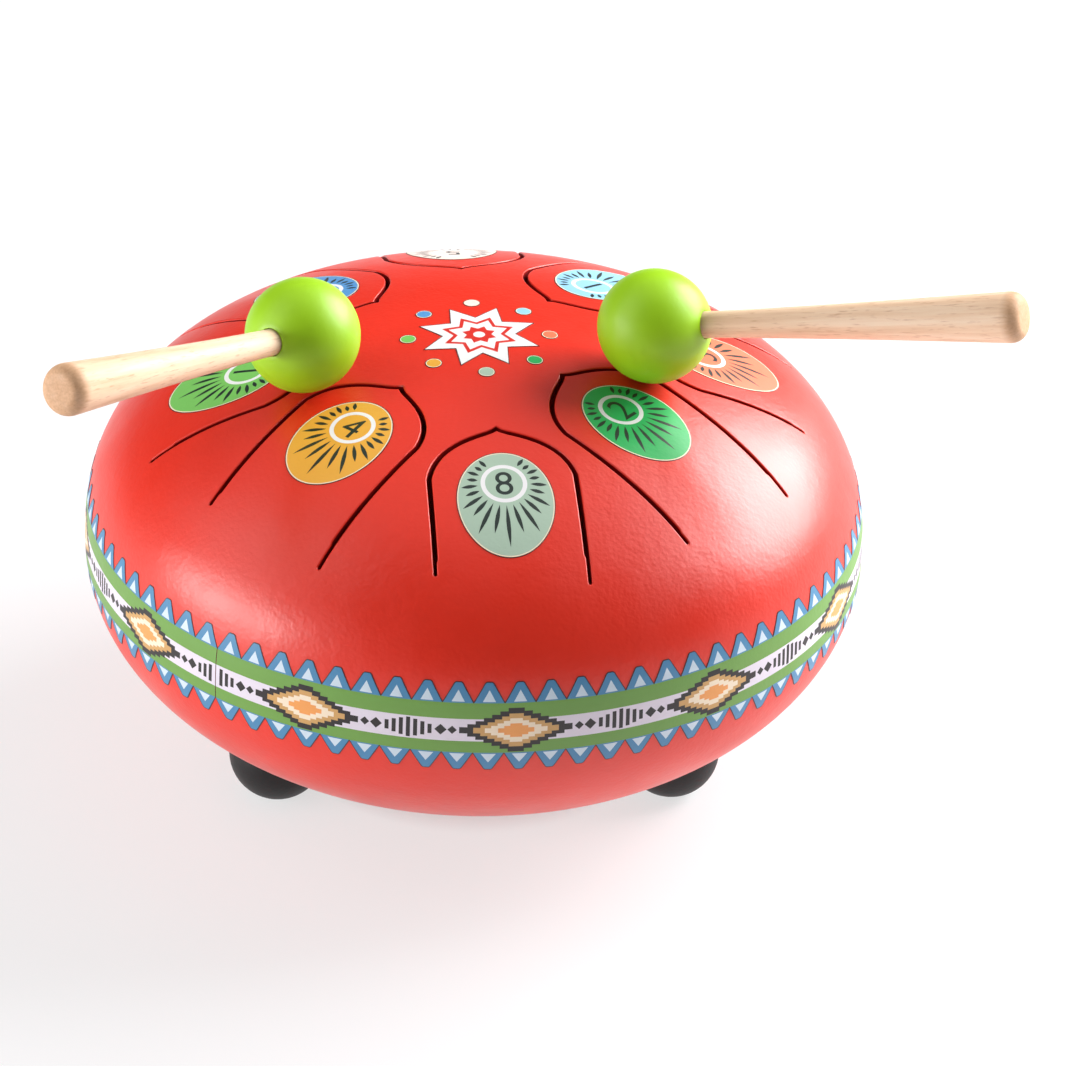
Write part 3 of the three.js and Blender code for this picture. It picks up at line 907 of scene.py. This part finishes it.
def make_feet(rubber):
    ground = -float(CENTRE[2]) / MM
    under = -SHEET - NECK_GAP
    top = -SHEET - NECK_LIP_THICK - NECK_GAP
    section = [(0, top), (NECK_LIP - CHAMFER, top), (NECK_LIP, top + CHAMFER), (NECK_LIP, under)]
    section += [(NECK_RADIUS, under), (NECK_RADIUS, -SHEET - NECK_GAP / 2)]
    section += [(r, ON_SHELL) for r in SHELL_RADII] + [(FOOT_RADIUS, FOOT_SKIRT)]
    for step in np.linspace(0, math.pi / 2, 15):
        rise = FOOT_STANDOFF + FOOT_RADIUS * math.sin(step)
        section.append((FOOT_RADIUS * math.cos(step), rise))
    section[-1] = (0, section[-1][1])
    for node, angle in zip(FEET, FOOT_ANGLES):
        seat, normal = on_skin(np.array([angle]), np.array([bowl_arc_at_radius(FOOT_SEAT)]))
        turn, origin = place = axis_place(seat[0], normal[0])

        def settle(ring):
            """The pad's top goes to the shell, and what is under the ground goes up to it."""
            if ring[0, 2] < ON_SHELL:
                return ring
            world = ring @ turn.T + origin
            if ring[0, 2] > ON_SHELL:
                world[:, 2] = np.maximum(world[:, 2], ground)
                return (world - origin) @ turn
            lead = turn[:, 2]
            lo, hi = world - SEEK * lead, world + SEEK * lead
            for _ in range(HALVINGS):
                middle = (lo + hi) / 2
                out = (bowl_depth(middle) > 0)[:, None]
                hi, lo = np.where(out, middle, hi), np.where(out, lo, middle)
            return (hi + REST_GAP * lead - origin) @ turn

        pad = make_turned(f"foot_pad_{node[5:]}", section, 56, rubber, place, settle)
        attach(pad, "drum")
        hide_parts(node)


BORE_GAP = 0.12  # round the handle in the ball
MOUTH_ROUND = 0.35  # width of the rounded edge at the bore's mouth
MOUTH = ((0.12, 0.03), (0.0, 0.3))  # that edge: out from the bore, and down from the ball's skin
HANDLE_START = 0.3  # from the bore's floor to the handle
HANDLE_END, HANDLE_END_FALL = 3.6, 2.9  # length and depth of the rounded far end


def make_mallets(rubber, beech):
    bore = HANDLE_NECK + BORE_GAP
    edge = math.asin((bore + MOUTH_ROUND) / BALL_RADIUS)
    ball = [(0, -BALL_RADIUS)]
    for turn in np.linspace(0, math.pi - edge, 41)[1:]:
        ball.append((BALL_RADIUS * math.sin(turn), -BALL_RADIUS * math.cos(turn)))
    mouth = ball[-1][1]
    ball += [(bore + out, mouth - down) for out, down in MOUTH]
    ball += [(bore, BALL_RADIUS - BORE_DEPTH), (0, BALL_RADIUS - BORE_DEPTH)]
    start = BALL_RADIUS - BORE_DEPTH + HANDLE_START
    stick = [(0, start), (HANDLE_NECK - CHAMFER, start), (HANDLE_NECK, start + CHAMFER)]
    shoulder = MALLET_LENGTH - HANDLE_END
    for part in np.linspace(0, 1, 26):
        swell = (HANDLE_GRIP - HANDLE_NECK) * part**HANDLE_SWELL
        stick.append((HANDLE_NECK + swell, BALL_RADIUS + (shoulder - BALL_RADIUS) * part))
    for turn in np.linspace(0, math.pi / 2, 9)[1:]:
        fall = HANDLE_END_FALL * (1 - math.cos(turn))
        stick.append((HANDLE_GRIP - fall, shoulder + HANDLE_END * math.sin(turn)))
    stick.append((0, MALLET_LENGTH))
    for side, (radius, angle, heading) in MALLETS.items():
        touch, normal = on_skin(np.array([angle]), np.array([arc_at_radius(radius)]))
        centre = touch[0] + (BALL_RADIUS + BALL_GAP) * normal[0]
        place = axis_place(centre, heading)
        for part, name, section, steps, look, slot in (
            ("head", "ball", ball, 96, rubber, "ball_rubber"),
            ("handle", "stick", stick, 72, beech, "beech"),
        ):
            piece = make_turned(f"mallet_{side}_{name}", section, steps, look, place)
            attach(piece, f"mallet_{side}")
            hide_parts(f"mallet_{side}_{part}")


# Materials


def linear(*rgb):
    return tuple(
        (v / 255 / 12.92 if v <= 10 else ((v / 255 + 0.055) / 1.055) ** 2.4) for v in rgb
    ) + (1.0,)


class Look:
    """The nodes of a material or of the world."""

    def __init__(self, owner, values, surface="BsdfPrincipled", output="OutputMaterial"):
        owner.use_nodes = True
        self.owner, self.tree = owner, owner.node_tree
        self.tree.nodes.clear()
        self.shader = self.node(surface, values)
        self.output = self.node(output)
        self.link(self.shader, 0, self.output, "Surface")

    def node(self, kind, values=(), **settings):
        made = self.tree.nodes.new("ShaderNode" + kind)
        for key, value in settings.items():
            setattr(made, key, value)
        for key, value in dict(values).items():
            made.inputs[key].default_value = value
        return made

    def link(self, a, out, b, socket):
        self.tree.links.new(a.outputs[out], b.inputs[socket])

    def space(self, scale, grain):
        """Coordinates of the object, or of a turned piece about its own axis."""
        mapping = self.node("Mapping", {"Scale": scale})
        if grain:
            where = self.node("Attribute", attribute_name="grain")
            self.link(where, "Vector", mapping, "Vector")
        else:
            self.link(self.node("TexCoord"), "Object", mapping, "Vector")
        return mapping

    def noise(self, scale, detail, stretch=(1, 1, 1), rough=0.5, grain=False):
        values = {"Scale": scale, "Detail": detail, "Roughness": rough}
        noise = self.node("TexNoise", values)
        self.link(self.space(stretch, grain), "Vector", noise, "Vector")
        return noise

    def spread(self, source, out, low, high, from_low=0.3, from_high=0.7):
        values = {"From Min": from_low, "From Max": from_high, "To Min": low, "To Max": high}
        span = self.node("MapRange", values)
        self.link(source, out, span, "Value")
        return span

    def ramp(self, source, out, *stops):
        ramp = self.node("ValToRGB")
        points = ramp.color_ramp.elements
        while len(points) < len(stops):
            points.new(0.5)
        for point, (place, colour) in zip(points, stops):
            point.position = place
            point.color = colour
        self.link(source, out, ramp, "Fac")
        return ramp

    def bump(self, source, out, distance, below=None):
        bump = self.node("Bump", {"Strength": 1.0, "Distance": distance})
        self.link(source, out, bump, "Height")
        if below:
            self.link(below, "Normal", bump, "Normal")
        return bump


def shade(colour, factor):
    return tuple(min(1.0, c * factor) for c in colour[:3]) + (1.0,)


PEEL = 1050.0  # bumps of the sprayed paint, per metre


def painted(name, rgb, level, rough, drift, peel):
    """Colour that drifts a little, uneven gloss and the paint's fine bumps."""
    look = Look(bpy.data.materials.new(name), {"Specular IOR Level": level})
    colour = linear(*rgb)
    cloud = look.noise(18, 3)
    tint = look.ramp(cloud, "Fac", (0.3, shade(colour, 1 - drift)), (0.7, shade(colour, 1 + drift)))
    look.link(tint, "Color", look.shader, "Base Color")
    gloss = look.spread(look.noise(60, 4), "Fac", rough - 0.04, rough + 0.05)
    look.link(gloss, "Result", look.shader, "Roughness")
    fine = look.bump(look.noise(PEEL, 2), "Fac", peel)
    broad = look.bump(look.noise(PEEL / 4, 2), "Fac", 2 * peel, below=fine)
    look.link(broad, "Normal", look.shader, "Normal")
    return look.owner


END_GRAIN = (4.6, 2.0)  # from a handle's far end, over which its end grain comes in


def beech_look():
    look = Look(bpy.data.materials.new("beech"), {"Specular IOR Level": 0.35})
    grain = look.noise(1, 5, (420, 420, 16), 0.6, True)
    tones = (226, 184, 148), (243, 207, 174), (250, 222, 194)
    base = look.ramp(grain, "Fac", *zip((0.3, 0.5, 0.7), [linear(*rgb) for rgb in tones]))
    fleck = look.noise(1, 2, (2000, 2000, 230), 0.5, True)
    mask = look.spread(fleck, "Fac", 0.0, 0.45, 0.58, 0.72)
    mix = look.node("Mix", {7: linear(186, 126, 88)}, data_type="RGBA")
    look.link(mask, "Result", mix, 0)
    look.link(base, "Color", mix, 6)
    split = look.node("SeparateXYZ")
    look.link(look.space((1, 1, 1), True), "Vector", split, "Vector")
    near, far = [(MALLET_LENGTH - length) * MM for length in END_GRAIN]
    share = look.spread(split, "Z", 0.0, 0.8, near, far)
    pores = look.noise(1, 3, (1700, 1700, 300), 0.6, True)
    dark = look.ramp(pores, "Fac", (0.3, linear(190, 142, 102)), (0.7, linear(212, 166, 126)))
    end = look.node("Mix", data_type="RGBA")
    look.link(share, "Result", end, 0)
    look.link(mix, 2, end, 6)
    look.link(dark, "Color", end, 7)
    look.link(end, 2, look.shader, "Base Color")
    gloss = look.spread(grain, "Fac", 0.62, 0.5)
    look.link(gloss, "Result", look.shader, "Roughness")
    bump = look.bump(grain, "Fac", 0.00004)
    bump = look.bump(fleck, "Fac", 0.00003, below=bump)
    look.link(bump, "Normal", look.shader, "Normal")
    return look.owner


# Colour, shine, roughness, the colour's drift and the bumps' height in metres
PAINTS = {
    "enamel_red": ((229, 44, 21), 0.68, 0.36, 0.05, 0.000045),
    "enamel_in_slots_painted_shade": ((132, 12, 11), 0.3, 0.5, 0.1, 0.00003),  # thin paint over the cut steel, darkened further as painted shade of the narrow slots
    "foot_rubber_black": ((27, 27, 28), 0.4, 0.5, 0.12, 0.00004),
    "ball_rubber_lime": ((158, 210, 18), 0.5, 0.44, 0.03, 0.00002),
}
INK_SKIN = (0.6, 0.4, 0.03, 0.00003)
INKS = {
    "line": (62, 26, 22), "cream": (244, 226, 200), "white": (240, 238, 240),
    "digit": (22, 38, 34), "red": (214, 40, 28), "blue": (70, 134, 178),
    "green": (110, 158, 68), "stripe": (226, 218, 230), "pale": (206, 222, 234),
    "black": (34, 26, 28), "ochre": (206, 160, 96), "orange": (240, 160, 84),
}
FILLS = {  # colours of the notes
    1: (150, 205, 235), 2: (36, 178, 92), 3: (242, 120, 84),
    4: (236, 172, 60), 5: (245, 224, 214), 6: (84, 148, 206),
    7: (122, 196, 96), 8: (172, 196, 176),
}
enamel, shadow, foot_rubber, ball_rubber = [painted(name, *PAINTS[name]) for name in PAINTS]
inks = {name: painted(f"ink_{name}", rgb, *INK_SKIN) for name, rgb in INKS.items()}
fills = {note: painted(f"ink_note_{note}", rgb, *INK_SKIN) for note, rgb in FILLS.items()}

make_dome(enamel, shadow)
make_notes(inks, fills)
make_centre(inks, fills)
make_band(inks)
make_bowl(enamel)
make_feet(foot_rubber)
make_mallets(ball_rubber, beech_look())


# Stage, lights and camera


FLOOR_HALF = 6.0
FLOOR_GLOW = 0.68  # share of its white that only camera and glossy rays see
UNDER_DRUM = (0.022, 0.05)  # metres from the drum's axis over which the glow comes back; nearer the axis the floor has a painted shadow


def make_floor():
    mesh = bpy.data.meshes.new("floor")
    corners = [(x * FLOOR_HALF, y * FLOOR_HALF, 0) for x, y in ((-1, -1), (1, -1), (1, 1), (-1, 1))]
    mesh.from_pydata(corners, [], [(0, 1, 2, 3)])
    floor = add_object("floor", mesh)
    values = {"Base Color": (0.92, 0.89, 0.915, 1), "Roughness": 0.6, "Specular IOR Level": 0.2}
    look = Look(bpy.data.materials.new("floor_white"), values)
    glow = look.node("Emission", {"Color": (1, 1, 1, 1)})
    path = look.node("LightPath")
    seen = look.node("Math", operation="ADD")
    look.link(path, "Is Camera Ray", seen, 0)
    look.link(path, "Is Glossy Ray", seen, 1)
    # Near the drum's axis the floor's glow fades out with distance, a painted shadow over its real
    # shadow there, so no glow shows through the slots
    axis = (CENTRE[0], CENTRE[1], 0)
    apart = look.node("VectorMath", {1: axis}, operation="DISTANCE")
    look.link(look.node("TexCoord"), "Object", apart, 0)
    glow_outside_painted_shadow = look.spread(apart, "Value", 0.0, FLOOR_GLOW, *UNDER_DRUM)
    share = look.node("Math", operation="MULTIPLY")
    look.link(seen, "Value", share, 0)
    look.link(glow_outside_painted_shadow, "Result", share, 1)
    mix = look.node("MixShader")
    look.link(share, "Value", mix, "Fac")
    look.link(look.shader, "BSDF", mix, 1)
    look.link(glow, "Emission", mix, 2)
    look.link(mix, "Shader", look.output, "Surface")
    mesh.materials.append(look.owner)


WORLD_LIGHT = 0.09  # strength of the white surroundings, for all but the camera


def make_world():
    world = bpy.data.worlds.new("studio")
    bpy.context.scene.world = world
    look = Look(world, {"Color": (1, 1, 1, 1)}, "Background", "OutputWorld")
    path = look.node("LightPath")
    strength = look.spread(path, "Is Camera Ray", WORLD_LIGHT, 1.0, 0.0, 1.0)
    look.link(strength, "Result", look.shader, "Strength")


LIGHTS = (  # name, place from the drum's middle, width and height in metres, and power
    ("top_box", (0.0, 0.5, 1.5), (2.0, 1.6), 4.2),
    ("top_left_box", (-1.1, -0.1, 1.1), (1.0, 1.0), 5.3),
    ("left_box", (-1.02, -0.37, 0.2), (0.7, 0.34), 8.8),
    ("right_box", (0.855, 0.48, 0.58), (0.88, 0.78), 28.5),
    ("right_front_box", (0.98, 0.3, 0.45), (0.6, 0.5), 2),
)


def make_light(name, place, size, power):
    """A soft box that looks at the drum's middle."""
    data = bpy.data.lights.new(name, "AREA")
    data.shape = "RECTANGLE"
    data.size, data.size_y = size
    data.energy = power
    light = add_object(name, data)
    light.location = Vector(CENTRE) + Vector(place)
    light.rotation_mode = "QUATERNION"
    light.rotation_quaternion = (-Vector(place)).to_track_quat("-Z", "Y")


CAMERA_PLACE = (0.0152, -1.0959, 0.6612)  # from the drum's middle
CAMERA_DOWN, CAMERA_ROLL = math.radians(31.08), -0.0322
CAMERA_LENS, CAMERA_SENSOR = 167.27, 36


def make_camera():
    data = bpy.data.cameras.new("camera")
    data.sensor_width = CAMERA_SENSOR
    data.lens = CAMERA_LENS
    camera = add_object("camera", data)
    down, roll = CAMERA_DOWN, CAMERA_ROLL
    right = Vector((1, 0, 0))
    ahead = Vector((0, math.cos(down), -math.sin(down)))
    up = Vector((0, math.sin(down), math.cos(down)))
    across = math.cos(roll) * right - math.sin(roll) * up
    above = math.sin(roll) * right + math.cos(roll) * up
    turn = Matrix((across, above, -ahead)).transposed().to_4x4()
    camera.matrix_world = Matrix.Translation(Vector(CENTRE) + Vector(CAMERA_PLACE)) @ turn
    bpy.context.scene.camera = camera


make_floor()
make_world()
for light in LIGHTS:
    make_light(*light)
make_camera()
bpy.context.scene.view_settings.view_transform = "Standard"
